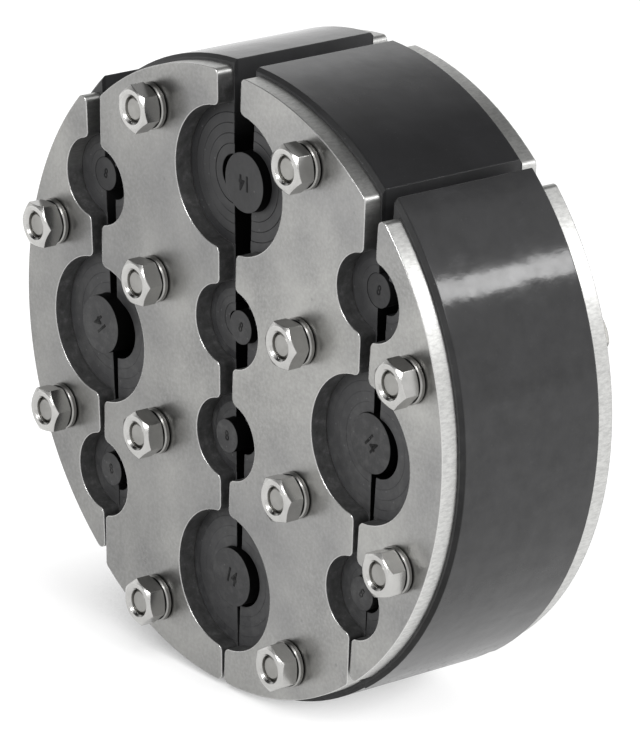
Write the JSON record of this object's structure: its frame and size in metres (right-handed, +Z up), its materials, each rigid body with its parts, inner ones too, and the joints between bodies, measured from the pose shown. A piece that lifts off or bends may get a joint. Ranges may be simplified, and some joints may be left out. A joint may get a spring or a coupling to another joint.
{
  "type": "annular gap seal",
  "caption": "Round press seal for a wall opening: slit rubber disc between steel plate strips, with scored cable passages, rubber plugs, bolts and nuts, shown fanned open.",
  "frame": {"origin": "on the seal's axis, at the middle of the rubber's width, where the wall opening's axis lies with the seal closed", "axes": "+Y along the axis from the nut side to the bolt-head side, +Z up the middle slit, +X to the right seen from the nut side"},
  "size_m": [0.1584, 0.0593, 0.1498],
  "materials": {
    "rubber": "satin dark grey rubber",
    "plate_steel": "matte stainless steel with cloudy mottling",
    "fastener_steel": "bright stainless steel",
    "plug_rubber": "matte dark grey rubber with a plain number"
  },
  "bodies": {
    "root": {"rubber_body": "rubber", "front_plate_left_outer": "plate_steel", "front_plate_left_inner": "plate_steel", "front_plate_right_inner": "plate_steel", "front_plate_right_outer": "plate_steel", "rear_plate_left_outer": "plate_steel", "rear_plate_left_inner": "plate_steel", "rear_plate_right_inner": "plate_steel", "rear_plate_right_outer": "plate_steel", "plug_left_upper": "plug_rubber", "plug_left_middle": "plug_rubber", "plug_left_lower": "plug_rubber", "plug_top": "plug_rubber", "plug_centre_upper": "plug_rubber", "plug_centre_lower": "plug_rubber", "plug_bottom": "plug_rubber", "plug_right_upper": "plug_rubber", "plug_right_middle": "plug_rubber", "plug_right_lower": "plug_rubber", "bolts": "fastener_steel", "nuts": "fastener_steel", "washers": "fastener_steel"}
  },
  "joints": []
}
